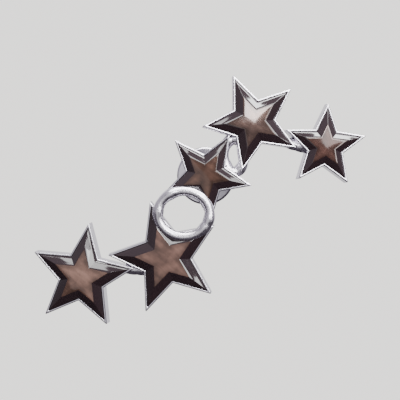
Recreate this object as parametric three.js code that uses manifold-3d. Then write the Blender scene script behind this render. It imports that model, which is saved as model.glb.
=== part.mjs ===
import * as THREE from 'three';
import { mergeVertices } from 'three/addons/utils/BufferGeometryUtils.js';
import Module from 'manifold-3d';

// An ear climber stud: five star-shaped silver cups soldered in a rising chain, a dark cut plate
// seated in each, one ear post behind the middle star and a push-on nut behind the lobe.
// Millimetres, +Z up. The origin is where the post meets the back of star 3, which is where it
// enters the ear lobe. The stars face -Y and the post runs along +Y.

// Stars from the low end of the chain to the high end. x and z place the centre of the back, reach
// is the distance from the centre to a tip, and turn is the angle of the first arm above +X in degrees.
const STARS = [
  { x: -6.2, z: -5.08, reach: 2.8, turn: 9.5 },
  { x: -2.0, z: -4.13, reach: 3.0, turn: 33.5 },
  { x: 0.0, z: 0.0, reach: 2.42, turn: -12.5 },
  { x: 2.35, z: 2.68, reach: 2.62, turn: 41.0 },
  { x: 5.96, z: 1.47, reach: 2.22, turn: 14.0 },
];
const ARMS = 5;
const NOTCH_SHARE = 0.45; // radius of the notches as a share of the reach
const TIP_CUT_SHARE = 0.03; // share of each edge that is cut off at the tip

// The chain follows the round front of the lobe, which falls away to the sides, up and down.
const LOBE_RADIUS_ACROSS = 30;
const LOBE_RADIUS_UP = 42;

// Cups and plates, measured forward from the back of the star
const CUP_DEPTH = 0.8;
const CUP_FLOOR = 0.35;
const RIM_WIDTH = 0.08;
const SEAT_GAP = 0.03; // all round and under the plate
const CROWN_SHARE = 0.12; // height of the plate's facets above the rim, as a share of the reach
const TABLE_SHARE = 0.58; // size of the flat table as a share of the plate

// Round wire links: oval rings, sized to the middle of their wire, and bars. The large ring lies
// across the front of the stars, and the rest lies in the depth of the cups.
const WIRE_RADIUS = 0.25;
const FRONT_LINK_DEPTH = 0.9;
const INNER_LINK_DEPTH = 0.3;
const LINK_RINGS = [
  { x: -1.1, z: -1.92, width: 2.64, height: 2.34, depth: FRONT_LINK_DEPTH },
  { x: 1.42, z: 1.0, width: 1.04, height: 1.7, depth: INNER_LINK_DEPTH },
];
const SOLDER_BARS = [
  { from: { x: -4.03, z: -4.72 }, to: { x: -2.95, z: -4.8 } },
  { from: { x: 4.02, z: 1.68 }, to: { x: 5.2, z: 1.35 } },
];
const RING_STEPS = 36;
const WIRE_STEPS = 10;
const BAR_END_STEPS = 3;

// Post and nut along +Y
const POST_RADIUS = 0.45;
const POST_LENGTH = 11;
const POST_ROOT = 0.2; // depth of the post's end inside the floor of its cup
const COLLAR_RADIUS = 0.75;
const COLLAR_LENGTH = 0.3;
const GROOVE_FROM_END = 1.5;
const GROOVE_LENGTH = 0.5;
const GROOVE_DEPTH = 0.08;
const NUT_FRONT = 5;
const NUT_CLEARANCE = 0.05;
const NUT_DISC_RADIUS = 1.5;
const NUT_DISC_LENGTH = 0.5;
const NUT_BARREL_RADIUS = 1.05;
const NUT_LENGTH = 3;
const NUT_EDGE = 0.12;
const ROUND_STEPS = 28;
const DOME_STEPS = 3;

const silver = new THREE.MeshStandardMaterial({ color: '#d6d6dc', roughness: 0.18, metalness: 1 });
const darkPlate = new THREE.MeshStandardMaterial({ color: '#5a4038', roughness: 0.12, metalness: 0.8 });

const wasm = await Module();
wasm.setup();

// A closed manifold solid from a closed geometry placed by a matrix
function toSolid(geometry, matrix = new THREE.Matrix4()) {
  const bare = geometry.clone().applyMatrix4(matrix);
  bare.deleteAttribute('normal');
  bare.deleteAttribute('uv');
  const merged = mergeVertices(bare);
  const corners = [];
  for (let i = 0; i < merged.index.count; i += 3) {
    const [a, b, c] = [0, 1, 2].map((k) => merged.index.getX(i + k));
    if (a !== b && b !== c && c !== a) corners.push(a, b, c);
  }
  return new wasm.Manifold(new wasm.Mesh({
    numProp: 3,
    vertProperties: new Float32Array(merged.attributes.position.array),
    triVerts: new Uint32Array(corners),
  }));
}

function toGeometry(solid) {
  const { vertProperties, triVerts } = solid.getMesh();
  const geometry = new THREE.BufferGeometry();
  geometry.setAttribute('position', new THREE.BufferAttribute(vertProperties, 3));
  geometry.setIndex(new THREE.BufferAttribute(triVerts, 1));
  return geometry;
}

// Place of a point of the chain: its back touches the lobe and it faces straight out of it
function onLobe({ x, z }) {
  const outward = new THREE.Vector3(x / LOBE_RADIUS_ACROSS, -1, z / LOBE_RADIUS_UP).normalize();
  const tilt = new THREE.Quaternion().setFromUnitVectors(new THREE.Vector3(0, -1, 0), outward);
  const fall = x ** 2 / (2 * LOBE_RADIUS_ACROSS) + z ** 2 / (2 * LOBE_RADIUS_UP);
  return new THREE.Matrix4().compose(new THREE.Vector3(x, fall, z), tilt, new THREE.Vector3(1, 1, 1));
}

// Outline of a star of reach 1, clockwise seen from the front, with two points on each cut tip
function unitStar(turn) {
  const at = (radius, degrees) => {
    const angle = THREE.MathUtils.degToRad(degrees);
    return new THREE.Vector2(radius * Math.cos(angle), radius * Math.sin(angle));
  };
  const step = 360 / ARMS;
  return Array.from({ length: ARMS }, (_, arm) => {
    const direction = turn - arm * step;
    const before = at(NOTCH_SHARE, direction + step / 2);
    const tip = at(1, direction);
    const after = at(NOTCH_SHARE, direction - step / 2);
    return [tip.clone().lerp(before, TIP_CUT_SHARE), tip.clone().lerp(after, TIP_CUT_SHARE), after];
  }).flat();
}

// Distance from a star's centre to the straight edge between a tip and a notch, at reach 1
function edgeDistance() {
  const half = Math.PI / ARMS;
  const edge = Math.hypot(1 - NOTCH_SHARE * Math.cos(half), NOTCH_SHARE * Math.sin(half));
  return (NOTCH_SHARE * Math.sin(half)) / edge;
}

// Reach of a star whose edges all lie inside the given star's edges by the same distance
const insetReach = (reach, inset) => reach - inset / edgeDistance();

// A solid with a star at every level of its profile, which runs from the front to the back:
// each point holds the reach and the y there. The columns of a lathe are moved onto the outline.
function starSolid(profile, turn) {
  const outline = unitStar(turn);
  const points = profile.map(([reach, y]) => new THREE.Vector2(reach, y));
  const geometry = new THREE.LatheGeometry(points, outline.length);
  const { position } = geometry.attributes;
  for (let i = 0; i < position.count; i += 1) {
    const column = outline[Math.floor(i / points.length) % outline.length];
    const reach = profile[i % points.length][0];
    position.setX(i, reach * column.x);
    position.setZ(i, reach * column.y);
  }
  return geometry;
}

function cupBody({ reach, turn }) {
  return starSolid([[0, -CUP_DEPTH], [reach, -CUP_DEPTH], [reach, 0], [0, 0]], turn);
}

const tableY = (reach) => -CUP_DEPTH - reach * CROWN_SHARE;
const tableReach = (reach) => insetReach(reach, RIM_WIDTH + SEAT_GAP) * TABLE_SHARE;

// Room for the plate inside the cup, and above it where the large ring lies across the plate
function cupPocket({ reach, turn }) {
  const inside = insetReach(reach, RIM_WIDTH);
  const table = insetReach(tableReach(reach), -SEAT_GAP);
  const front = tableY(reach) - SEAT_GAP;
  const profile = [[0, front], [table, front], [inside, -CUP_DEPTH], [inside, -CUP_FLOOR], [0, -CUP_FLOOR]];
  return starSolid(profile, turn);
}

// Dark plate: a straight girdle inside the rim, ten facets and a flat star-shaped table
function plateGeometry({ reach, turn }) {
  const girdle = insetReach(reach, RIM_WIDTH + SEAT_GAP);
  const table = tableReach(reach);
  const front = tableY(reach);
  const back = -CUP_FLOOR - SEAT_GAP;
  return starSolid([[0, front], [table, front], [girdle, -CUP_DEPTH], [girdle, back], [0, back]], turn);
}

// A round ring whose wire is moved outward across its width, so that the wire keeps its thickness
function linkRing({ width, height, depth }) {
  const ring = new THREE.TorusGeometry(height / 2, WIRE_RADIUS, WIRE_STEPS, RING_STEPS);
  const { position } = ring.attributes;
  for (let i = 0; i < position.count; i += 1) {
    const around = Math.atan2(position.getY(i), position.getX(i));
    position.setX(i, position.getX(i) + ((width - height) / 2) * Math.cos(around));
  }
  return ring.rotateX(Math.PI / 2).translate(0, -depth, 0);
}

// A short round bar between two points of the chain, at the depth of the links
function solderBar({ from, to }) {
  const ends = [from, to].map((end) => new THREE.Vector3(0, -INNER_LINK_DEPTH, 0).applyMatrix4(onLobe(end)));
  const along = ends[1].clone().sub(ends[0]);
  const bar = new THREE.CapsuleGeometry(WIRE_RADIUS, along.length(), BAR_END_STEPS, WIRE_STEPS);
  const turn = new THREE.Quaternion().setFromUnitVectors(new THREE.Vector3(0, 1, 0), along.normalize());
  const middle = ends[0].clone().lerp(ends[1], 0.5);
  return bar.applyMatrix4(new THREE.Matrix4().compose(middle, turn, new THREE.Vector3(1, 1, 1)));
}

// Round post with a solder collar at its root, a groove for the nut and a domed end
function earPost() {
  const domeStart = POST_LENGTH - POST_RADIUS;
  const grooveEnd = POST_LENGTH - GROOVE_FROM_END;
  const waist = POST_RADIUS - GROOVE_DEPTH;
  const profile = [
    [0, -POST_ROOT],
    [COLLAR_RADIUS, -POST_ROOT],
    [COLLAR_RADIUS, 0],
    [POST_RADIUS, COLLAR_LENGTH],
    [POST_RADIUS, grooveEnd - GROOVE_LENGTH],
    [waist, grooveEnd - GROOVE_LENGTH + GROOVE_DEPTH],
    [waist, grooveEnd - GROOVE_DEPTH],
    [POST_RADIUS, grooveEnd],
    ...Array.from({ length: DOME_STEPS + 1 }, (_, step) => {
      const angle = ((Math.PI / 2) * step) / DOME_STEPS;
      return [POST_RADIUS * Math.cos(angle), domeStart + POST_RADIUS * Math.sin(angle)];
    }),
  ];
  return new THREE.LatheGeometry(profile.map(([r, y]) => new THREE.Vector2(r, y)), ROUND_STEPS);
}

function silverFrame() {
  const metal = [
    ...STARS.map((star) => toSolid(cupBody(star), onLobe(star))),
    ...LINK_RINGS.map((ring) => toSolid(linkRing(ring), onLobe(ring))),
    ...SOLDER_BARS.map((bar) => toSolid(solderBar(bar))),
    toSolid(earPost()),
  ];
  const soldered = metal.reduce((whole, piece) => whole.add(piece));
  const pockets = STARS.map((star) => toSolid(cupPocket(star), onLobe(star)));
  return toGeometry(pockets.reduce((whole, pocket) => whole.subtract(pocket), soldered));
}

// Push-on nut: a disc against the lobe and a barrel behind it, bored for the post
function earNut() {
  const bore = POST_RADIUS + NUT_CLEARANCE;
  const back = NUT_FRONT + NUT_LENGTH;
  const discBack = NUT_FRONT + NUT_DISC_LENGTH;
  const profile = [
    [bore, NUT_FRONT],
    [NUT_DISC_RADIUS - NUT_EDGE, NUT_FRONT],
    [NUT_DISC_RADIUS, NUT_FRONT + NUT_EDGE],
    [NUT_DISC_RADIUS, discBack - NUT_EDGE],
    [NUT_DISC_RADIUS - NUT_EDGE, discBack],
    [NUT_BARREL_RADIUS + NUT_EDGE, discBack],
    [NUT_BARREL_RADIUS, discBack + NUT_EDGE],
    [NUT_BARREL_RADIUS, back - NUT_EDGE],
    [NUT_BARREL_RADIUS - NUT_EDGE, back],
    [bore, back],
    [bore, NUT_FRONT],
  ];
  return new THREE.LatheGeometry(profile.map(([r, y]) => new THREE.Vector2(r, y)), ROUND_STEPS);
}

function named(name, geometry, material) {
  const mesh = new THREE.Mesh(geometry, material);
  mesh.name = name;
  return mesh;
}

const earring = new THREE.Group();
earring.add(named('silver_frame', silverFrame(), silver));
STARS.forEach((star, index) => {
  const plate = named(`star_plate_${index + 1}`, plateGeometry(star), darkPlate);
  plate.applyMatrix4(onLobe(star));
  earring.add(plate);
});
earring.add(named('ear_nut', earNut(), silver));

export default earring;
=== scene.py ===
import math
import bmesh
import bpy
from mathutils import Matrix, Quaternion, Vector


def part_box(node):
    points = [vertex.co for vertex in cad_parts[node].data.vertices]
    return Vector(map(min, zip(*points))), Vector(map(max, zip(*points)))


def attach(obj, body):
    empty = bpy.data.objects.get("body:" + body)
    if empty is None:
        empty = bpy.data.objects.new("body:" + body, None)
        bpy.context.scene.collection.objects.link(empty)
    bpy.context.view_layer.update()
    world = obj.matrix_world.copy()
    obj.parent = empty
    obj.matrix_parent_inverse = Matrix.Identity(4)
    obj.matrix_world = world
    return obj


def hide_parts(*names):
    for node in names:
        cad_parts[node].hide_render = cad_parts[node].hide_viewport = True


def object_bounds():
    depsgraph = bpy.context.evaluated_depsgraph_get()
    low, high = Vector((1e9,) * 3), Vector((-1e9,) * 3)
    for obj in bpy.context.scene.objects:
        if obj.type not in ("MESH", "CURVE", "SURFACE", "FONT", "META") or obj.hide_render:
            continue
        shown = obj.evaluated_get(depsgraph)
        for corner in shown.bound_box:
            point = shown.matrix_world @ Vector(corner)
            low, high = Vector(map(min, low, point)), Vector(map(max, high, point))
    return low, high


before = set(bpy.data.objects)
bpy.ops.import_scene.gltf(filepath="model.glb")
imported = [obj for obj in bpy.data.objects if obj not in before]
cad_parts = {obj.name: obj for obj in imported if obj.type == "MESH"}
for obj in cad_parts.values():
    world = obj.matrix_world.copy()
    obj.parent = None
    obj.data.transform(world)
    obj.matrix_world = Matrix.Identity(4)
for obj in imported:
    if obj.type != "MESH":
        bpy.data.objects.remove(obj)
cad_low, cad_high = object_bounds()


# ---------------------------------------------------------------- camera
# Level with the earring and square to the side of the ear it is worn on. It stands well
# back with a long lens, as for a catalogue of jewellery, so the stars keep their true shapes.

MM = 0.001  # a millimetre, because everything here is in metres
CAMERA_DISTANCE = 340 * MM
FRAME_MARGIN = 1.2  # width of the view as a share of the chain's width
LEVEL = math.radians(90)


def add_object(name, data):
    """A new object of the scene, at the origin, for a mesh, a light or a camera."""
    thing = bpy.data.objects.new(name, data)
    bpy.context.scene.collection.objects.link(thing)
    return thing


camera_data = bpy.data.cameras.new("long_lens")
camera = add_object("camera", camera_data)
bpy.context.scene.camera = camera
view_centre = Vector(((cad_low.x + cad_high.x) / 2, cad_low.y, (cad_low.z + cad_high.z) / 2))
camera.location = view_centre + Vector((0, -CAMERA_DISTANCE, 0))
camera.rotation_euler = (LEVEL, 0, 0)
view_width = (cad_high.x - cad_low.x) * FRAME_MARGIN
camera_data.lens = camera_data.sensor_width * CAMERA_DISTANCE / view_width


# ---------------------------------------------------------------- silver star cups
# Five star-shaped bezel cups of sterling silver, cast, soldered into one chain, tumbled and
# plated white with rhodium. Each has straight sides, softened edges and a thin rim that is
# rubbed over against the dark star inside it.

ARMS = 5
NOTCH_SHARE = 0.45  # reach of a notch, as a share of a tip's reach
EDGE_SHARE = 0.3839  # about the distance from the centre to an edge, as a share of the reach
RIM_WIDTH = 0.08 * MM
SEAT_GAP = 0.03 * MM  # between a cup and its dark star
CUP_FLOOR = 0.35 * MM
CUP_DEPTH = 0.8 * MM
CORNER_SHARE = 0.012  # rounding radius of the tips and notches, as a share of the reach
CORNER_STEPS = 4
EDGE_ROUND = 0.035 * MM
EDGE_STEPS = 4
RIM_ROUND = 0.055 * MM  # the front edge, rounder from burnishing
RIM_STEPS = 6
RIM_LEAN = 0.02 * MM  # how far the rubbed-over rim leans in towards the dark star
LIP_ROUND = 0.03 * MM  # the inner edge of the rim
LEAN_TOP = 1.7 * LIP_ROUND  # depth below the front at which the leaning rim turns back
LEAN_FOOT = 3.4 * LIP_ROUND  # depth below the front at which the wall is upright again
BACK_FACING = 0.85  # least part of a normal that points into the lobe, on the back of a star
CORNER_DECIMALS = 7  # corners that agree to this many places are one corner
CENTRE_SIZE = 0.1 * MM  # a corner nearer to the centre than this is the centre


def star_place(node):
    """Matrix at the middle of the cup's back, X along an arm and Z out of the face, and sizes."""
    mesh = node.data
    back_faces = [face for face in mesh.polygons if face.normal.y > BACK_FACING]
    forward = -sum((face.normal * face.area for face in back_faces), Vector()).normalized()
    corners = {tuple(round(value, CORNER_DECIMALS) for value in mesh.vertices[index].co)
               for face in back_faces for index in face.vertices}
    corners = [Vector(corner) for corner in corners]
    centre = sum(corners, Vector()) / len(corners)
    notch = min((corner for corner in corners if (corner - centre).length > CENTRE_SIZE),
                key=lambda corner: (corner - centre).length) - centre
    arm = Quaternion(forward, math.pi / ARMS) @ notch.normalized()
    origin = centre - forward * (CUP_FLOOR + SEAT_GAP)
    girdle = notch.length / NOTCH_SHARE
    table_height = max((vertex.co - origin).dot(forward) for vertex in mesh.vertices)
    side = forward.cross(arm)
    place = Matrix.Translation(origin) @ Matrix((arm, side, forward)).transposed().to_4x4()
    return {"place": place, "girdle": girdle, "table_height": table_height,
            "reach": girdle + (RIM_WIDTH + SEAT_GAP) / EDGE_SHARE}


def linear(hex_colour):
    """sRGB hex to a linear colour with alpha."""
    channels = [int(hex_colour[i:i + 2], 16) / 255 for i in (1, 3, 5)]
    return tuple(c / 12.92 if c <= 0.04045 else ((c + 0.055) / 1.055) ** 2.4 for c in channels) + (1.0,)


def empty_tree(owner):
    """The node tree of a new material or world, with nothing in it."""
    owner.use_nodes = True
    owner.node_tree.nodes.clear()
    return owner.node_tree


def add_node(tree, kind, settings=None, inputs=None):
    """A node with its settings; each input is a value or an output socket to link from."""
    node = tree.nodes.new(kind)
    for name, value in (settings or {}).items():
        setattr(node, name, value)
    for name, value in (inputs or {}).items():
        if isinstance(value, bpy.types.NodeSocket):
            tree.links.new(value, node.inputs[name])
        else:
            node.inputs[name].default_value = value
    return node


SILVER_FACE = "#e6e3ea"
SILVER_SEAT_PAINTED_SHADE = "#6a666f"  # painted shade down in the seat, where light hardly reaches
SEAT_DULLNESS = 0.25  # roughness added there, because no wheel reaches it
LINES_PER_MM = 10
LINE_SLANT = math.radians(-35)
LINE_DEPTH = 0.001 * MM
WHEEL_WAVES_PER_MM = 1.4
WHEEL_WAVE_HEIGHT = 0.012 * MM
PLATING_CLOUDS_PER_MM = 2.5
PLATING_CLOUD_SHADE = 0.9
WHEEL_STRETCH = (1.0, 1.0, 9.0)  # the lines are nine times as long as they are far apart
WHEEL_ROUGHNESS = (0.1, 0.17)
NOISE_MOST = (0.35, 0.65)  # where most of a noise's values lie
NOISE_ALL = (0.3, 0.7)  # where nearly all of them lie


def rhodium_silver(name, line_stretch, roughness_range):
    """Rhodium-plated silver: a near mirror with hair-fine lines and a slightly wavy surface."""
    material = bpy.data.materials.new(name)
    tree = empty_tree(material)
    place = add_node(tree, "ShaderNodeTexCoord").outputs["Object"]
    seat = add_node(tree, "ShaderNodeAttribute", {"attribute_name": "seat"}).outputs["Fac"]
    # polishing lines, really 0.01 mm apart, drawn 0.1 mm apart so that they show
    stretched = add_node(tree, "ShaderNodeMapping", {"vector_type": "TEXTURE"},
                         {"Vector": place, "Rotation": (0, LINE_SLANT, 0), "Scale": line_stretch})
    lines = add_node(tree, "ShaderNodeTexNoise", None,
                     {"Vector": stretched.outputs["Vector"], "Scale": LINES_PER_MM / MM, "Detail": 1.0})
    # waves left by the polishing, about 0.7 mm across
    waves = add_node(tree, "ShaderNodeTexNoise", None,
                     {"Vector": place, "Scale": WHEEL_WAVES_PER_MM / MM, "Detail": 0.0})
    # clouding of the plating, about 0.4 mm across
    cloud = add_node(tree, "ShaderNodeTexNoise", None,
                     {"Vector": place, "Scale": PLATING_CLOUDS_PER_MM / MM, "Detail": 2.0})
    # painted shade: the silver is painted darker down in the seat
    colour = add_node(tree, "ShaderNodeMix", {"data_type": "RGBA"},
                      {"Factor": seat, "A": linear(SILVER_FACE), "B": linear(SILVER_SEAT_PAINTED_SHADE)})
    tint = add_node(tree, "ShaderNodeMapRange", None,
                    {"Value": cloud.outputs["Fac"], "From Min": NOISE_ALL[0], "From Max": NOISE_ALL[1],
                     "To Min": PLATING_CLOUD_SHADE, "To Max": 1.0})
    shaded = add_node(tree, "ShaderNodeVectorMath", {"operation": "SCALE"},
                      {0: colour.outputs["Result"], "Scale": tint.outputs["Result"]})
    roughness = add_node(tree, "ShaderNodeMapRange", None,
                         {"Value": lines.outputs["Fac"], "From Min": NOISE_MOST[0],
                          "From Max": NOISE_MOST[1], "To Min": roughness_range[0],
                          "To Max": roughness_range[1]})
    dull = add_node(tree, "ShaderNodeMath", {"operation": "MULTIPLY_ADD"},
                    {0: seat, 1: SEAT_DULLNESS, 2: roughness.outputs["Result"]})
    wavy = add_node(tree, "ShaderNodeBump", None,
                    {"Height": waves.outputs["Fac"], "Strength": 1.0, "Distance": WHEEL_WAVE_HEIGHT})
    bump = add_node(tree, "ShaderNodeBump", None,
                    {"Height": lines.outputs["Fac"], "Strength": 0.5, "Distance": LINE_DEPTH,
                     "Normal": wavy.outputs["Normal"]})
    surface = add_node(tree, "ShaderNodeBsdfPrincipled", None,
                       {"Base Color": shaded.outputs["Vector"], "Metallic": 1.0,
                        "Roughness": dull.outputs["Value"], "Normal": bump.outputs["Normal"]})
    add_node(tree, "ShaderNodeOutputMaterial", None, {"Surface": surface.outputs["BSDF"]})
    return material


WELD_DISTANCE = 0.0005 * MM  # points nearer to each other than this are one


def start_shape(name, inputs):
    """A node tree with named inputs, which gives out one shape."""
    tree = bpy.data.node_groups.new(name, "GeometryNodeTree")
    for socket, kind in inputs.items():
        tree.interface.new_socket(socket, in_out="INPUT", socket_type=f"NodeSocket{kind}")
    tree.interface.new_socket("Shape", in_out="OUTPUT", socket_type="NodeSocketGeometry")
    return tree, add_node(tree, "NodeGroupInput").outputs


def end_shape(tree, shape, finish):
    """Closes the seams of a tree's shape, gives it its finish and passes it out."""
    joined = add_node(tree, "GeometryNodeMergeByDistance", None,
                      {"Geometry": shape, "Distance": WELD_DISTANCE})
    real = add_node(tree, "GeometryNodeRealizeInstances", None,
                    {"Geometry": joined.outputs["Geometry"]})
    finished = add_node(tree, "GeometryNodeSetMaterial", None,
                        {"Geometry": real.outputs["Geometry"], "Material": finish})
    add_node(tree, "NodeGroupOutput", None, {"Shape": finished.outputs["Geometry"]})


def star_sweep_tree():
    """Sweeps a section round a star. Each section point holds the reach and the height there."""
    tree, given = start_shape("star_sweep", {
        "Section": "Geometry", "Arms": "Int", "Notch Share": "Float", "Corner Share": "Float",
        "Crown Radius": "Float", "Finish": "Material"})
    star = add_node(tree, "GeometryNodeCurveStar", None,
                    {"Points": given["Arms"], "Inner Radius": given["Notch Share"], "Outer Radius": 1.0})
    outline = add_node(tree, "GeometryNodeFilletCurve", {"mode": "POLY"},
                       {"Curve": star.outputs["Curve"], "Count": CORNER_STEPS,
                        "Radius": given["Corner Share"], "Limit Radius": True})
    columns = add_node(tree, "GeometryNodeAttributeDomainSize", {"component": "CURVE"},
                       {"Geometry": outline.outputs["Curve"]}).outputs["Point Count"]
    rows = add_node(tree, "GeometryNodeAttributeDomainSize", {"component": "MESH"},
                    {"Geometry": given["Section"]}).outputs["Point Count"]
    closing = add_node(tree, "FunctionNodeIntegerMath", {"operation": "ADD"}, {0: columns, 1: 1})
    sheet = add_node(tree, "GeometryNodeMeshGrid", None,
                     {"Vertices X": closing.outputs["Value"], "Vertices Y": rows})
    index = add_node(tree, "GeometryNodeInputIndex").outputs["Index"]
    column = add_node(tree, "FunctionNodeIntegerMath", {"operation": "DIVIDE_FLOOR"},
                      {0: index, 1: rows})
    column = add_node(tree, "FunctionNodeIntegerMath", {"operation": "MODULO"},
                      {0: column.outputs["Value"], 1: columns})
    row = add_node(tree, "FunctionNodeIntegerMath", {"operation": "MODULO"}, {0: index, 1: rows})
    position = add_node(tree, "GeometryNodeInputPosition").outputs["Position"]
    around = add_node(tree, "GeometryNodeSampleIndex", {"data_type": "FLOAT_VECTOR", "domain": "POINT"},
                      {"Geometry": outline.outputs["Curve"], "Value": position,
                       "Index": column.outputs["Value"]})
    level = add_node(tree, "GeometryNodeSampleIndex", {"data_type": "FLOAT_VECTOR", "domain": "POINT"},
                     {"Geometry": given["Section"], "Value": position, "Index": row.outputs["Value"]})
    level = add_node(tree, "ShaderNodeSeparateXYZ", None, {"Vector": level.outputs["Value"]})
    marks = {}
    for name in ("seat", "inward"):
        mark = add_node(tree, "GeometryNodeInputNamedAttribute", {"data_type": "FLOAT"},
                        {"Name": name})
        sample = add_node(tree, "GeometryNodeSampleIndex", {"data_type": "FLOAT", "domain": "POINT"},
                          {"Geometry": given["Section"], "Value": mark.outputs["Attribute"],
                           "Index": row.outputs["Value"]})
        marks[name] = sample.outputs["Value"]
    flat = add_node(tree, "ShaderNodeVectorMath", {"operation": "SCALE"},
                    {0: around.outputs["Value"], "Scale": level.outputs["X"]}).outputs["Vector"]
    # the crown: the surface of a large ball, which falls by distance squared over twice its radius
    squared = add_node(tree, "ShaderNodeVectorMath", {"operation": "DOT_PRODUCT"}, {0: flat, 1: flat})
    across = add_node(tree, "ShaderNodeMath", {"operation": "MULTIPLY"},
                      {0: given["Crown Radius"], 1: 2.0})
    drop = add_node(tree, "ShaderNodeMath", {"operation": "DIVIDE"},
                    {0: squared.outputs["Value"], 1: across.outputs["Value"]})
    share = add_node(tree, "ShaderNodeClamp", None, {"Value": marks["inward"]})
    drop = add_node(tree, "ShaderNodeMath", {"operation": "MULTIPLY"},
                    {0: drop.outputs["Value"], 1: share.outputs["Result"]})
    height = add_node(tree, "ShaderNodeMath", {"operation": "SUBTRACT"},
                      {0: level.outputs["Z"], 1: drop.outputs["Value"]})
    rise = add_node(tree, "ShaderNodeCombineXYZ", None, {"Z": height.outputs["Value"]})
    point = add_node(tree, "ShaderNodeVectorMath", {"operation": "ADD"},
                     {0: flat, 1: rise.outputs["Vector"]})
    swept = add_node(tree, "GeometryNodeSetPosition", None,
                     {"Geometry": sheet.outputs["Mesh"], "Position": point.outputs["Vector"]})
    shape = swept.outputs["Geometry"]
    for name, value in marks.items():
        stored = add_node(tree, "GeometryNodeStoreNamedAttribute",
                          {"data_type": "FLOAT", "domain": "POINT"},
                          {"Geometry": shape, "Name": name, "Value": value})
        shape = stored.outputs["Geometry"]
    end_shape(tree, shape, given["Finish"])
    return tree


def run_tree(tree, name, start, inputs):
    """A plain mesh made by a node tree from a starting mesh, with its faces outwards."""
    holder = add_object(name, start)
    modifier = holder.modifiers.new("shape", "NODES")
    modifier.node_group = tree
    for socket in tree.interface.items_tree:
        if socket.in_out == "INPUT" and socket.name in inputs:
            modifier[socket.identifier] = inputs[socket.name]
    mesh = bpy.data.meshes.new_from_object(holder.evaluated_get(bpy.context.evaluated_depsgraph_get()))
    bpy.data.objects.remove(holder)
    shape = bmesh.new()
    shape.from_mesh(mesh)
    bmesh.ops.recalc_face_normals(shape, faces=shape.faces)
    shape.to_mesh(mesh)
    shape.free()
    return mesh


def section_mesh(name, points):
    """The points of a section: reach, height, how deep in the seat, how far in from the girdle."""
    mesh = bpy.data.meshes.new(name)
    mesh.from_pydata([(point[0], 0, point[1]) for point in points],
                     [(i, i + 1) for i in range(len(points) - 1)], [])
    for column, mark in enumerate(("seat", "inward"), start=2):
        values = mesh.attributes.new(mark, "FLOAT", "POINT").data
        for value, point in zip(values, points):
            value.value = point[column]
    return mesh


def quarter(reach, centre_inset, centre_height, radius, start, marks, steps=EDGE_STEPS):
    """Points of a rounded edge, a quarter turn on from start, set in from the star's outline."""
    points = []
    for step in range(steps + 1):
        angle = math.radians(start + 90 * step / steps)
        inset = centre_inset - radius * math.cos(angle)
        points.append((reach - inset / EDGE_SHARE, centre_height + radius * math.sin(angle), *marks))
    return points


def cup_section(reach):
    """From the middle of the back round the side, over the rim and down into the seat."""
    outside, inside = (0.0, 0.0), (1.0, 0.0)
    wall = RIM_WIDTH + RIM_LEAN
    flat = 2 * EDGE_ROUND  # a row close to each rounded edge keeps the broad faces flat in the light
    return [
        (0, 0, *outside),
        (reach - flat / EDGE_SHARE, 0, *outside),
        *quarter(reach, EDGE_ROUND, EDGE_ROUND, EDGE_ROUND, -90, outside),
        (reach, flat, *outside),
        (reach, CUP_DEPTH - flat, *outside),
        *quarter(reach, RIM_ROUND, CUP_DEPTH - RIM_ROUND, RIM_ROUND, 0, outside, RIM_STEPS),
        *quarter(reach, wall - LIP_ROUND, CUP_DEPTH - LIP_ROUND, LIP_ROUND, 90, outside),
        (reach - wall / EDGE_SHARE, CUP_DEPTH - LEAN_TOP, *inside),
        (reach - RIM_WIDTH / EDGE_SHARE, CUP_DEPTH - LEAN_FOOT, *inside),
        (reach - RIM_WIDTH / EDGE_SHARE, CUP_FLOOR, *inside),
        (0, CUP_FLOOR, *inside),
    ]


STAR_NUMBERS = (1, 2, 3, 4, 5)  # from the low end of the chain to the high end
FLAT_CROWN = 1.0  # any radius will do, because no point of a cup is marked as inward

STARS = [star_place(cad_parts[f"star_plate_{number}"]) for number in STAR_NUMBERS]
polished_silver = rhodium_silver("rhodium_plated_silver", WHEEL_STRETCH, WHEEL_ROUGHNESS)
star_sweep = star_sweep_tree()
metalwork = []
for number, star in zip(STAR_NUMBERS, STARS):
    section = section_mesh(f"cup_section_{number}", cup_section(star["reach"]))
    cup = run_tree(star_sweep, f"cup_{number}", section,
                   {"Arms": ARMS, "Notch Share": NOTCH_SHARE, "Corner Share": CORNER_SHARE,
                    "Crown Radius": FLAT_CROWN, "Finish": polished_silver})
    cup.transform(star["place"])
    metalwork.append(cup)


# ---------------------------------------------------------------- links and solder
# Round silver wire between the stars: two oval rings and two short bars. The large ring is
# soldered across the front of the stars and the rest between the cups. The solder runs along
# the wire a little way, so it swells where it meets a cup.

WIRE_RADIUS = 0.25 * MM
WIRE_SIDES = 24
FRONT_DEPTH = 0.9 * MM  # from the backs of the cups to the middle of the wire
INNER_DEPTH = 0.3 * MM
SOLDER_SWELL = 0.2  # extra thickness at the cup, as a share of the wire's
SOLDER_RUN = 0.3 * MM
RING_STEPS = 160
BAR_STEPS = 24
# Places are a share of the way along the line between two stars, then millimetres to its right.
# Widths and heights are in millimetres, to the middle of the wire.
LINK_RINGS = [
    {"stars": (2, 3), "along": 0.519, "sideways": -0.154, "depth": FRONT_DEPTH,
     "width": 2.64, "height": 2.34},
    {"stars": (3, 4), "along": 0.474, "sideways": 0.409, "depth": INNER_DEPTH,
     "width": 1.04, "height": 1.7},
]
SOLDER_BARS = [
    {"stars": (1, 2), "start": (0.51, 0.128), "end": (0.75, 0.444)},
    {"stars": (4, 5), "start": (0.499, 0.418), "end": (0.821, 0.355)},
]


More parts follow.
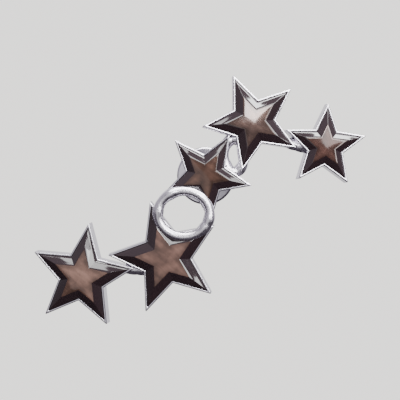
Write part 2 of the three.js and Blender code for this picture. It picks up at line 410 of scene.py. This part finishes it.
def link_place(stars, along, sideways, depth):
    """Matrix of a place beside the line between two stars, upright and facing as they do."""
    first, second = (STARS[number - 1]["place"] for number in stars)
    forward = (first.col[2].xyz + second.col[2].xyz).normalized()
    chain = second.translation - first.translation
    right = chain.cross(Vector((0, -1, 0))).normalized()
    # the chain follows the round lobe, so it bows forward between two stars
    bow = chain.length * first.col[2].xyz.angle(second.col[2].xyz) * along * (1 - along) / 2
    origin = first.translation + chain * along + right * sideways * MM + forward * (depth + bow)
    across = (Vector((1, 0, 0)) - forward * forward.x).normalized()
    up = forward.cross(across)
    return Matrix.Translation(origin) @ Matrix((across, up, forward)).transposed().to_4x4()


def in_cup(point, star):
    """Whether a point lies over the star of a cup."""
    local = star["place"].inverted() @ point
    fold = math.pi / ARMS
    turn = abs((math.atan2(local.y, local.x) + fold) % (2 * fold) - fold)
    edge_turn = math.acos(EDGE_SHARE)
    return math.hypot(local.x, local.y) * math.cos(turn - edge_turn) < EDGE_SHARE * star["reach"]


def wire_path(name, points, closed):
    """A path for the wire, with how much solder swells it near each place where it meets a cup."""
    mesh = bpy.data.meshes.new(name)
    pairs = [(i, i + 1) for i in range(len(points) - 1)] + ([(len(points) - 1, 0)] if closed else [])
    mesh.from_pydata(points, pairs, [])
    joints = [(points[a] + points[b]) / 2 for a, b in pairs
              if any(in_cup(points[a], star) != in_cup(points[b], star) for star in STARS)]
    swell = mesh.attributes.new("swell", "FLOAT", "POINT").data
    for value, point in zip(swell, points):
        near = min((point - joint).length for joint in joints)
        value.value = 1 + SOLDER_SWELL * math.exp(-((near / SOLDER_RUN) ** 2))
    return mesh


def wire_tree():
    """A wire of round section along the given edges, closed at its ends."""
    tree, given = start_shape("silver_wire", {
        "Path": "Geometry", "Wire Radius": "Float", "Finish": "Material"})
    path = add_node(tree, "GeometryNodeMeshToCurve", None, {"Mesh": given["Path"]})
    section = add_node(tree, "GeometryNodeCurvePrimitiveCircle", {"mode": "RADIUS"},
                       {"Resolution": WIRE_SIDES, "Radius": given["Wire Radius"]})
    swell = add_node(tree, "GeometryNodeInputNamedAttribute", {"data_type": "FLOAT"}, {"Name": "swell"})
    wire = add_node(tree, "GeometryNodeCurveToMesh", None,
                    {"Curve": path.outputs["Curve"], "Profile Curve": section.outputs["Curve"],
                     "Scale": swell.outputs["Attribute"], "Fill Caps": True})
    end_shape(tree, wire.outputs["Mesh"], given["Finish"])
    return tree


TUMBLED_STRETCH = (1.0, 1.0, 1.0)  # tumbling leaves fine marks that run no particular way
TUMBLED_ROUGHNESS = (0.24, 0.34)

silver_wire = wire_tree()
# wire keeps the soft shine of the tumbling barrel, because a polishing wheel would catch in it
tumbled_silver = rhodium_silver("tumbled_rhodium_silver", TUMBLED_STRETCH, TUMBLED_ROUGHNESS)
wire_inputs = {"Wire Radius": WIRE_RADIUS, "Finish": tumbled_silver}
for ring in LINK_RINGS:
    place = link_place(ring["stars"], ring["along"], ring["sideways"], ring["depth"])
    oval = []
    for step in range(RING_STEPS):
        turn = 2 * math.pi * step / RING_STEPS
        oval.append(place @ Vector((ring["width"] / 2 * MM * math.cos(turn),
                                    ring["height"] / 2 * MM * math.sin(turn), 0)))
    path = wire_path("ring_path", oval, closed=True)
    metalwork.append(run_tree(silver_wire, "link_ring", path, wire_inputs))
for bar in SOLDER_BARS:
    start = link_place(bar["stars"], *bar["start"], INNER_DEPTH).translation
    end = link_place(bar["stars"], *bar["end"], INNER_DEPTH).translation
    line = [start.lerp(end, step / BAR_STEPS) for step in range(BAR_STEPS + 1)]
    path = wire_path("bar_path", line, closed=False)
    metalwork.append(run_tree(silver_wire, "solder_bar", path, wire_inputs))


# ---------------------------------------------------------------- ear post
# A straight drawn wire soldered square to the back of the middle star with a small collar of
# solder. It has a turned groove near its domed end, which catches the nut before it slips off.

POST_RADIUS = 0.45 * MM
POST_ROOT = 0.2 * MM  # how deep it sits in the cup's back
DOME_STEPS = 8
COLLAR_RADIUS = 0.75 * MM
COLLAR_LENGTH = 0.3 * MM
COLLAR_ANGLES = (20, 40, 60, 80, 90)  # degrees round the hollow curve of the solder
GROOVE_FROM_END = 1.5 * MM
GROOVE_LENGTH = 0.5 * MM
GROOVE_DEPTH = 0.08 * MM
EDGE_ROW = 0.02 * MM  # a row this close to an edge keeps the straight wire even in the light
TURN_STEPS = 48
ARC_STEPS = 5


def turned(name, section, finish):
    """A mesh turned round the Y axis from a section of radius and y, which may start and end on it."""
    shape = bmesh.new()
    line = [shape.verts.new((radius, y, 0)) for radius, y in section]
    edges = [shape.edges.new(pair) for pair in zip(line, line[1:])]
    bmesh.ops.spin(shape, geom=line + edges, cent=(0, 0, 0), axis=(0, 1, 0), angle=2 * math.pi,
                   steps=TURN_STEPS, use_merge=True)
    bmesh.ops.remove_doubles(shape, verts=shape.verts, dist=WELD_DISTANCE)
    bmesh.ops.recalc_face_normals(shape, faces=shape.faces)
    mesh = bpy.data.meshes.new(name)
    shape.to_mesh(mesh)
    shape.free()
    mesh.materials.append(finish)
    return mesh


def arc(radius_centre, y_centre, size, start, end, steps=ARC_STEPS):
    """Section points on an arc, from a start to an end in degrees, with 0 straight outwards."""
    angles = [math.radians(start + (end - start) * step / steps) for step in range(steps + 1)]
    return [(radius_centre + size * math.cos(angle), y_centre + size * math.sin(angle))
            for angle in angles]


post_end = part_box("silver_frame")[1].y
groove_end = post_end - GROOVE_FROM_END
waist = POST_RADIUS - GROOVE_DEPTH
collar = [(COLLAR_RADIUS - COLLAR_LENGTH * math.sin(angle), COLLAR_LENGTH * (1 - math.cos(angle)))
          for angle in map(math.radians, COLLAR_ANGLES)]
post_section = [
    (0, -POST_ROOT),
    (COLLAR_RADIUS, -POST_ROOT),
    (COLLAR_RADIUS, 0),
    *collar,
    (POST_RADIUS, COLLAR_LENGTH + EDGE_ROW),
    (POST_RADIUS, groove_end - GROOVE_LENGTH - EDGE_ROW),
    (POST_RADIUS, groove_end - GROOVE_LENGTH),
    (waist, groove_end - GROOVE_LENGTH + GROOVE_DEPTH),
    (waist, groove_end - GROOVE_DEPTH),
    (POST_RADIUS, groove_end),
    *arc(0, post_end - POST_RADIUS, POST_RADIUS, 0, 90, DOME_STEPS),
]
metalwork.append(turned("post", post_section, polished_silver))


# ---------------------------------------------------------------- soldered frame
# The cups, the links and the post are soldered together, so they are one rigid piece. The cups
# and the post are polished on a wheel, and the wire of the links is only tumbled.

METAL_SHARP_ANGLE = 50  # degrees between faces at which an edge looks sharp
LARGE_FACE_WEIGHT = 100  # the largest face at a corner alone sets how the corner is lit


def even_shading(mesh, sharp_angle):
    """The same mesh, smooth across its small rounded edges and flat on its broad faces."""
    mesh.polygons.foreach_set("use_smooth", [True] * len(mesh.polygons))
    mesh.set_sharp_from_angle(angle=math.radians(sharp_angle))
    holder = add_object(mesh.name, mesh)
    modifier = holder.modifiers.new("even", "WEIGHTED_NORMAL")
    modifier.weight = LARGE_FACE_WEIGHT
    modifier.keep_sharp = True
    even = bpy.data.meshes.new_from_object(holder.evaluated_get(bpy.context.evaluated_depsgraph_get()))
    bpy.data.objects.remove(holder)
    return even


whole = bmesh.new()
finishes = [polished_silver, tumbled_silver]
for mesh in metalwork:
    finish_number = finishes.index(mesh.materials[-1])
    mesh.polygons.foreach_set("material_index", [finish_number] * len(mesh.polygons))
    whole.from_mesh(mesh)
frame_mesh = bpy.data.meshes.new("silver_frame_polished")
whole.to_mesh(frame_mesh)
whole.free()
for finish in finishes:
    frame_mesh.materials.append(finish)
silver_frame = add_object("silver_frame_polished", even_shading(frame_mesh, METAL_SHARP_ANGLE))
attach(silver_frame, "root")
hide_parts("silver_frame")


# ---------------------------------------------------------------- dark stars
# A star of bronzite in each cup, a dark and nearly opaque stone with fine bronze streaks. It is
# ground with a star-shaped table and ten bevels and polished all over. Its steep bevels are painted
# nearly black as painted shade, and its brown table has painted shade towards its edge.

TABLE_SHARE = 0.58  # reach of the table, as a share of the whole star's
TABLE_ROWS = (0.97, 0.85, 0.7, 0.55, 0.4, 0.25, 0.12, 0.0)  # shares of the table's reach
CROWN_RADIUS = 14 * MM  # of the table, which is very slightly domed
BEVEL_BULGE = 0.003 * MM
BEVEL_ROWS = (0.25, 0.5, 0.75)  # shares of the way up a bevel
PLATE_EDGE = 0.03 * MM  # the softened strip along each edge
STONE_SHARP_ANGLE = 35  # degrees between faces at which an edge looks sharp
# Each row is marked with how far in it lies: 0 at the girdle, 1 at the table's edge and 2 at
# the table's middle.
BEVEL_START_MARK = 0.1
BEVEL_END_MARK = 0.9
FULL_BROWN_MARK = 1.6  # where the painted shade at the table's edge ends and the brown is full
TABLE_BROWNS_WITH_SHADE = ["#765a4f", "#6f5349", "#533c32", "#5a4740", "#503730"]  # star 1 to star 5: the stone's own brown, with painted shade that makes it darker up the chain
# painted shade: the same stone, painted nearly black on its steep bevels
BEVEL_PAINTED_SHADE = "#22181b"
TABLE_EDGE_PAINTED_SHADE = 0.55  # painted shade: how bright the table's edge is painted, as a share of its middle
BRONZE_LUSTRE = 0.3
BRONZITE_IOR = 1.67
STONE_ROUGHNESS = (0.05, 0.1)
STREAKS_PER_MM = 4
STREAK_STRETCH = (6.0, 1.0, 1.0)  # the streaks are six times as long as they are far apart
STREAK_SLANT = math.radians(38)
STREAK_SHADES = (0.78, 1.16)  # how dark and how bright they make the brown
PATCHES_PER_MM = 1.1
PATCH_SHADES = (0.58, 1.34)
STONE_WAVES_PER_MM = 1.0
STONE_WAVE_HEIGHT = 0.012 * MM


def bronzite(name, shaded_table_brown):
    """Polished bronzite: glassy, with painted shade darker towards the edges, and slanting bronze
    streaks.
    """
    material = bpy.data.materials.new(name)
    tree = empty_tree(material)
    place = add_node(tree, "ShaderNodeTexCoord").outputs["Object"]
    inward = add_node(tree, "ShaderNodeAttribute", {"attribute_name": "inward"}).outputs["Fac"]
    # streaks that slant down to the right, about 0.25 mm apart and 1.5 mm long
    slanted = add_node(tree, "ShaderNodeMapping", {"vector_type": "TEXTURE"},
                       {"Vector": place, "Rotation": (0, STREAK_SLANT, 0), "Scale": STREAK_STRETCH})
    streaks = add_node(tree, "ShaderNodeTexNoise", None,
                       {"Vector": slanted.outputs["Vector"], "Scale": STREAKS_PER_MM / MM,
                        "Detail": 2.0})
    # cloudy patches in the stone, about 0.9 mm across
    patches = add_node(tree, "ShaderNodeTexNoise", None,
                       {"Vector": place, "Scale": PATCHES_PER_MM / MM, "Detail": 3.0})
    streaked = add_node(tree, "ShaderNodeMapRange", None,
                        {"Value": streaks.outputs["Fac"], "From Min": NOISE_MOST[0],
                         "From Max": NOISE_MOST[1], "To Min": STREAK_SHADES[0],
                         "To Max": STREAK_SHADES[1]})
    clouded = add_node(tree, "ShaderNodeMapRange", None,
                       {"Value": patches.outputs["Fac"], "From Min": NOISE_MOST[0],
                        "From Max": NOISE_MOST[1], "To Min": PATCH_SHADES[0],
                        "To Max": PATCH_SHADES[1]})
    # painted shade: the table is painted darker towards its edge
    painted_edge_shade = add_node(tree, "ShaderNodeMapRange", {"interpolation_type": "SMOOTHSTEP"},
                       {"Value": inward, "From Min": 1.0, "From Max": FULL_BROWN_MARK,
                        "To Min": TABLE_EDGE_PAINTED_SHADE, "To Max": 1.0})
    light = add_node(tree, "ShaderNodeMath", {"operation": "MULTIPLY"},
                     {0: streaked.outputs["Result"], 1: clouded.outputs["Result"]})
    light = add_node(tree, "ShaderNodeMath", {"operation": "MULTIPLY"},
                     {0: light.outputs["Value"], 1: painted_edge_shade.outputs["Result"]})
    shaded_brown = add_node(tree, "ShaderNodeVectorMath", {"operation": "SCALE"},
                     {0: linear(shaded_table_brown)[:3], "Scale": light.outputs["Value"]})
    table = add_node(tree, "ShaderNodeMapRange", None,
                     {"Value": inward, "From Min": BEVEL_END_MARK, "From Max": 1.0})
    # painted shade: nearly black on the bevels, brown on the table
    colour = add_node(tree, "ShaderNodeMix", {"data_type": "RGBA"},
                      {"Factor": table.outputs["Result"], "A": linear(BEVEL_PAINTED_SHADE),
                       "B": shaded_brown.outputs["Vector"]})
    roughness = add_node(tree, "ShaderNodeMapRange", None,
                         {"Value": patches.outputs["Fac"], "From Min": NOISE_ALL[0],
                          "From Max": NOISE_ALL[1], "To Min": STONE_ROUGHNESS[0],
                          "To Max": STONE_ROUGHNESS[1]})
    # the polish is slightly wavy, about 1 mm from wave to wave
    waves = add_node(tree, "ShaderNodeTexNoise", None,
                     {"Vector": place, "Scale": STONE_WAVES_PER_MM / MM, "Detail": 0.0})
    bump = add_node(tree, "ShaderNodeBump", None,
                    {"Height": waves.outputs["Fac"], "Strength": 1.0, "Distance": STONE_WAVE_HEIGHT})
    # the bronze lustre of the flat tables, which comes from thin layers inside the stone
    lustre = add_node(tree, "ShaderNodeMath", {"operation": "MULTIPLY"},
                      {0: table.outputs["Result"], 1: BRONZE_LUSTRE})
    surface = add_node(tree, "ShaderNodeBsdfPrincipled", None,
                       {"Base Color": colour.outputs["Result"], "Metallic": lustre.outputs["Value"],
                        "IOR": BRONZITE_IOR, "Roughness": roughness.outputs["Result"],
                        "Normal": bump.outputs["Normal"]})
    add_node(tree, "ShaderNodeOutputMaterial", None, {"Surface": surface.outputs["BSDF"]})
    return material


def plate_section(girdle, table_height):
    """From the middle of the back out to the girdle, up the bevel and in over the table."""
    back = CUP_FLOOR + SEAT_GAP
    low = Vector((girdle, CUP_DEPTH))
    high = Vector((girdle * TABLE_SHARE, table_height))
    slope = (high - low).normalized()
    out = Vector((slope.y, -slope.x))
    bevel = []
    for share in BEVEL_ROWS:
        point = low.lerp(high, share) + out * BEVEL_BULGE * 4 * share * (1 - share)
        bevel.append((*point, 0.0, share))
    table = [(high.x * share, high.y, 0.0, 2 - share) for share in TABLE_ROWS]
    return [
        (0, back, 0.0, 0.0),
        (girdle, back, 0.0, 0.0),
        (girdle, CUP_DEPTH - PLATE_EDGE, 0.0, 0.0),
        (*(low + slope * PLATE_EDGE), 0.0, BEVEL_START_MARK),
        *bevel,
        (*(high - slope * PLATE_EDGE), 0.0, BEVEL_END_MARK),
        *table,
    ]


# each star gets its own copy of the stone, its brown darkened up the chain by painted shade
for number, star, shaded_brown in zip(STAR_NUMBERS, STARS, TABLE_BROWNS_WITH_SHADE):
    stone = bronzite(f"bronzite_{number}", shaded_brown)
    section = section_mesh(f"plate_section_{number}",
                           plate_section(star["girdle"], star["table_height"]))
    mesh = run_tree(star_sweep, f"plate_{number}", section,
                    {"Arms": ARMS, "Notch Share": NOTCH_SHARE, "Corner Share": CORNER_SHARE,
                     "Crown Radius": CROWN_RADIUS, "Finish": stone})
    mesh.transform(star["place"])
    plate = add_object(f"star_stone_{number}", even_shading(mesh, STONE_SHARP_ANGLE))
    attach(plate, "root")
    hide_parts(f"star_plate_{number}")


# ---------------------------------------------------------------- ear nut
# A turned push-on nut: a disc that lies against the lobe and a barrel behind it, plated like
# the rest. The lathe leaves fine rings on it.

BORE_RADIUS = 0.5 * MM
NUT_BARREL_RADIUS = 1.05 * MM
NUT_DISC_LENGTH = 0.5 * MM
NUT_EDGE = 0.12 * MM  # rounding of the rims, and of the corner between disc and barrel
LATHE_STRETCH = (9.0, 1.0, 9.0)  # the lines become rings round the barrel

nut_low, nut_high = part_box("ear_nut")
nut_radius = nut_high.x
disc_back = nut_low.y + NUT_DISC_LENGTH
nut_section = [
    (BORE_RADIUS, nut_low.y),
    *arc(nut_radius - NUT_EDGE, nut_low.y + NUT_EDGE, NUT_EDGE, -90, 0),
    *arc(nut_radius - NUT_EDGE, disc_back - NUT_EDGE, NUT_EDGE, 0, 90),
    *arc(NUT_BARREL_RADIUS + NUT_EDGE, disc_back + NUT_EDGE, NUT_EDGE, -90, -180),
    *arc(NUT_BARREL_RADIUS - NUT_EDGE, nut_high.y - NUT_EDGE, NUT_EDGE, 0, 90),
    (BORE_RADIUS, nut_high.y),
    (BORE_RADIUS, nut_low.y),
]
turned_silver = rhodium_silver("turned_rhodium_silver", LATHE_STRETCH, WHEEL_ROUGHNESS)
nut_mesh = turned("ear_nut_turned", nut_section, turned_silver)
ear_nut = add_object("ear_nut_turned", even_shading(nut_mesh, METAL_SHARP_ANGLE))
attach(ear_nut, "root")
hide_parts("ear_nut")


# ---------------------------------------------------------------- studio
# A pale floor well below the hanging earring, which fades out into a pale background, and seven
# soft boxes: two long ones above, three small ones up on the right, and a weak one each beside
# the viewer and behind the earring.

FLOOR_DROP = 250 * MM
FLOOR_RADIUS = 500 * MM
FLOOR_SIDES = 96
FLOOR_FADE = (100 * MM, 450 * MM)  # from solid to clear, by distance from the middle
FLOOR_PALE = "#f1eeea"
BACKGROUND_PALE = "#f3f1ee"
BACKGROUND_STRENGTH = 2.0
ROOM_LOW = "#453f48"
ROOM_HIGH = "#c8c2ce"
ROOM_RISE = (-0.6, 0.7)  # it brightens between these heights, of -1 underfoot to 1 overhead

floor_mesh = bpy.data.meshes.new("pale_floor")
disc = bmesh.new()
bmesh.ops.create_circle(disc, cap_ends=True, radius=FLOOR_RADIUS, segments=FLOOR_SIDES)
disc.to_mesh(floor_mesh)
disc.free()
floor_mesh.transform(Matrix.Translation((0, 0, cad_low.z - FLOOR_DROP)))
floor = add_object("pale_floor", floor_mesh)
card = bpy.data.materials.new("pale_card")
tree = empty_tree(card)
place = add_node(tree, "ShaderNodeTexCoord").outputs["Object"]
across = add_node(tree, "ShaderNodeVectorMath", {"operation": "MULTIPLY"}, {0: place, 1: (1, 1, 0)})
distance = add_node(tree, "ShaderNodeVectorMath", {"operation": "LENGTH"}, {0: across.outputs["Vector"]})
fade = add_node(tree, "ShaderNodeMapRange", {"interpolation_type": "SMOOTHSTEP"},
                {"Value": distance.outputs["Value"], "From Min": FLOOR_FADE[0],
                 "From Max": FLOOR_FADE[1], "To Min": 0.0, "To Max": 1.0})
paper = add_node(tree, "ShaderNodeBsdfDiffuse", None, {"Color": linear(FLOOR_PALE)})
clear = add_node(tree, "ShaderNodeBsdfTransparent")
blend = add_node(tree, "ShaderNodeMixShader", None,
                 {0: fade.outputs["Result"], 1: paper.outputs["BSDF"], 2: clear.outputs["BSDF"]})
add_node(tree, "ShaderNodeOutputMaterial", None, {"Surface": blend.outputs["Shader"]})
floor_mesh.materials.append(card)
floor.visible_glossy = False  # the silver mirrors the room and not this floor

world = bpy.data.worlds.new("studio")
bpy.context.scene.world = world
tree = empty_tree(world)
seen = add_node(tree, "ShaderNodeLightPath").outputs["Is Camera Ray"]
# the room is bright above and dim below, which gives the silver its darker undersides
place = add_node(tree, "ShaderNodeTexCoord").outputs["Generated"]
upward = add_node(tree, "ShaderNodeSeparateXYZ", None, {"Vector": place}).outputs["Z"]
height = add_node(tree, "ShaderNodeMapRange", {"interpolation_type": "SMOOTHSTEP"},
                  {"Value": upward, "From Min": ROOM_RISE[0], "From Max": ROOM_RISE[1],
                   "To Min": 0.0, "To Max": 1.0})
walls = add_node(tree, "ShaderNodeMix", {"data_type": "RGBA"},
                 {"Factor": height.outputs["Result"], "A": linear(ROOM_LOW), "B": linear(ROOM_HIGH)})
room = add_node(tree, "ShaderNodeBackground", None,
                {"Color": walls.outputs["Result"], "Strength": 1.0})
pale = add_node(tree, "ShaderNodeBackground", None,
                {"Color": linear(BACKGROUND_PALE), "Strength": BACKGROUND_STRENGTH})
mixed = add_node(tree, "ShaderNodeMixShader", None,
                 {0: seen, 1: room.outputs["Background"], 2: pale.outputs["Background"]})
add_node(tree, "ShaderNodeOutputWorld", None, {"Surface": mixed.outputs["Shader"]})

SOFT_BOX_DISTANCE = 250 * MM
SOFT_BOXES = [
    # turn: degrees anticlockwise from the right, as the camera sees it; front: degrees from there
    # towards the camera; span: degrees along the turn and across it
    {"name": "high_box", "turn": 73, "front": 8, "span": (59, 13), "radiance": 28.0},
    {"name": "fore_box", "turn": 68, "front": 40, "span": (82, 20), "radiance": 9.0},
    {"name": "right_box", "turn": 14, "front": 51, "span": (24, 14), "radiance": 12.0},
    {"name": "key_box", "turn": 58, "front": 69, "span": (10, 18), "radiance": 24.0},
    {"name": "side_box", "turn": 34, "front": 58, "span": (20, 18), "radiance": 6.0},
    {"name": "fill_box", "turn": 214, "front": 72, "span": (46, 36), "radiance": 0.6},
    {"name": "back_box", "turn": 90, "front": -70, "span": (100, 80), "radiance": 0.7},
]
for box in SOFT_BOXES:
    turn = math.radians(box["turn"])
    front = math.radians(box["front"])
    direction = Vector((math.cos(front) * math.cos(turn), -math.sin(front),
                        math.cos(front) * math.sin(turn)))
    around = Vector((-math.sin(turn), 0, math.cos(turn)))
    facing = Matrix((around, direction.cross(around), direction)).transposed().to_4x4()
    light = bpy.data.lights.new(box["name"], "AREA")
    light.shape = "RECTANGLE"
    light.size, light.size_y = (2 * SOFT_BOX_DISTANCE * math.tan(math.radians(span / 2))
                                for span in box["span"])
    light.energy = box["radiance"] * math.pi * light.size * light.size_y
    lamp = add_object(box["name"], light)
    lamp.matrix_world = Matrix.Translation(view_centre + direction * SOFT_BOX_DISTANCE) @ facing
    lamp.visible_camera = False
